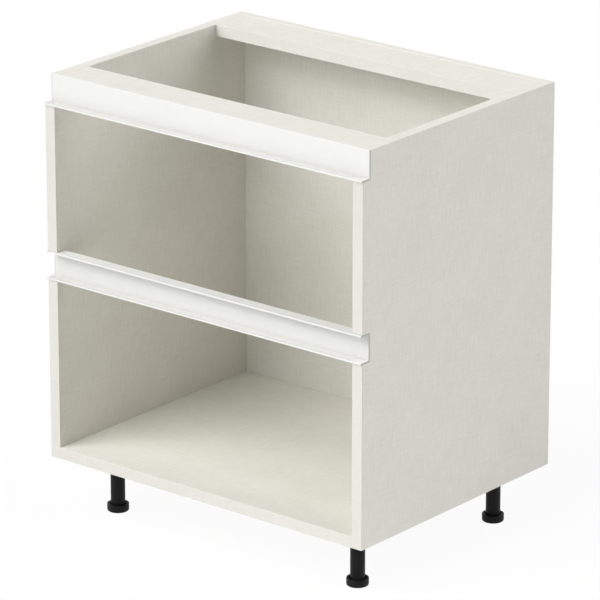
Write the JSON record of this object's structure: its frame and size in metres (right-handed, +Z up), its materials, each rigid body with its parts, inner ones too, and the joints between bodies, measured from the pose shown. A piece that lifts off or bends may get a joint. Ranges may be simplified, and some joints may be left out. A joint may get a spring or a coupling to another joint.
{
  "type": "drawer base cabinet carcass",
  "caption": "Open kitchen base carcass for two deep drawers, with white handle-less grip profiles across the front and black levelling legs.",
  "frame": {"origin": "on the floor, under the middle of the carcass and its lips taken together", "axes": "+X along the width to the right as seen from the front, +Y from the open front to the back panel, +Z up"},
  "size_m": [0.72, 0.543, 0.832],
  "materials": {
    "linen_melamine": "linen-textured melamine on board",
    "edge_band_abs": "matt edge band",
    "white_coated_aluminium": "white satin powder coat",
    "bracket_plastic": "moulded",
    "zinc_fittings": "die cast",
    "plated_steel": "zinc plated",
    "beech": "fluted dowel",
    "black_leg_plastic": "moulded, matt"
  },
  "bodies": {
    "cabinet": {"left_side_panel": "linen_melamine", "right_side_panel": "linen_melamine", "bottom_panel": "linen_melamine", "back_panel": "linen_melamine", "front_rail": "linen_melamine", "rear_rail": "linen_melamine", "left_edge_bands": "edge_band_abs", "right_edge_bands": "edge_band_abs", "bottom_edge_band": "edge_band_abs", "front_rail_edge_band": "edge_band_abs", "rear_rail_edge_band": "edge_band_abs", "rear_rail_rear_band": "edge_band_abs", "top_handle_profile": "white_coated_aluminium", "middle_handle_profile": "white_coated_aluminium", "top_left_bracket": "bracket_plastic", "top_right_bracket": "bracket_plastic", "middle_left_bracket": "bracket_plastic", "middle_right_bracket": "bracket_plastic", "bottom_cam_locks": "zinc_fittings", "rail_cam_locks": "zinc_fittings", "back_cam_locks": "zinc_fittings", "left_cam_bolts": "plated_steel", "right_cam_bolts": "plated_steel", "left_dowels": "beech", "right_dowels": "beech", "bracket_screws": "plated_steel", "socket_screws": "plated_steel", "front_left_leg_socket": "black_leg_plastic", "front_right_leg_socket": "black_leg_plastic", "rear_left_leg_socket": "black_leg_plastic", "rear_right_leg_socket": "black_leg_plastic"},
    "front_left_leg": {"front_left_leg_tube": "black_leg_plastic"},
    "front_left_foot_body": {"front_left_foot": "black_leg_plastic"},
    "front_right_leg": {"front_right_leg_tube": "black_leg_plastic"},
    "front_right_foot_body": {"front_right_foot": "black_leg_plastic"},
    "rear_left_leg": {"rear_left_leg_tube": "black_leg_plastic"},
    "rear_left_foot_body": {"rear_left_foot": "black_leg_plastic"},
    "rear_right_leg": {"rear_right_leg_tube": "black_leg_plastic"},
    "rear_right_foot_body": {"rear_right_foot": "black_leg_plastic"}
  },
  "joints": [
    {"name": "front_left_leg_turn", "type": "hinge", "parent": "cabinet", "child": "front_left_leg", "pos_m": [-0.28, -0.1785, 0.06], "axis": [0, 0, 1], "range_deg": [-540, 1800]},
    {"name": "front_left_foot_travel", "type": "slide", "parent": "cabinet", "child": "front_left_foot_body", "axis": [0, 0, -1], "range_m": [-0.006, 0.02]},
    {"name": "front_right_leg_turn", "type": "hinge", "parent": "cabinet", "child": "front_right_leg", "pos_m": [0.28, -0.1785, 0.06], "axis": [0, 0, 1], "range_deg": [-540, 1800]},
    {"name": "front_right_foot_travel", "type": "slide", "parent": "cabinet", "child": "front_right_foot_body", "axis": [0, 0, -1], "range_m": [-0.006, 0.02]},
    {"name": "rear_left_leg_turn", "type": "hinge", "parent": "cabinet", "child": "rear_left_leg", "pos_m": [-0.28, 0.2145, 0.06], "axis": [0, 0, 1], "range_deg": [-540, 1800]},
    {"name": "rear_left_foot_travel", "type": "slide", "parent": "cabinet", "child": "rear_left_foot_body", "axis": [0, 0, -1], "range_m": [-0.006, 0.02]},
    {"name": "rear_right_leg_turn", "type": "hinge", "parent": "cabinet", "child": "rear_right_leg", "pos_m": [0.28, 0.2145, 0.06], "axis": [0, 0, 1], "range_deg": [-540, 1800]},
    {"name": "rear_right_foot_travel", "type": "slide", "parent": "cabinet", "child": "rear_right_foot_body", "axis": [0, 0, -1], "range_m": [-0.006, 0.02]}
  ],
  "couplings": [
    {"joint": "front_left_foot_travel", "follows": "front_left_leg_turn", "m_per_rad": 0.00063661},
    {"joint": "front_right_foot_travel", "follows": "front_right_leg_turn", "m_per_rad": 0.00063661},
    {"joint": "rear_left_foot_travel", "follows": "rear_left_leg_turn", "m_per_rad": 0.00063661},
    {"joint": "rear_right_foot_travel", "follows": "rear_right_leg_turn", "m_per_rad": 0.00063661}
  ]
}
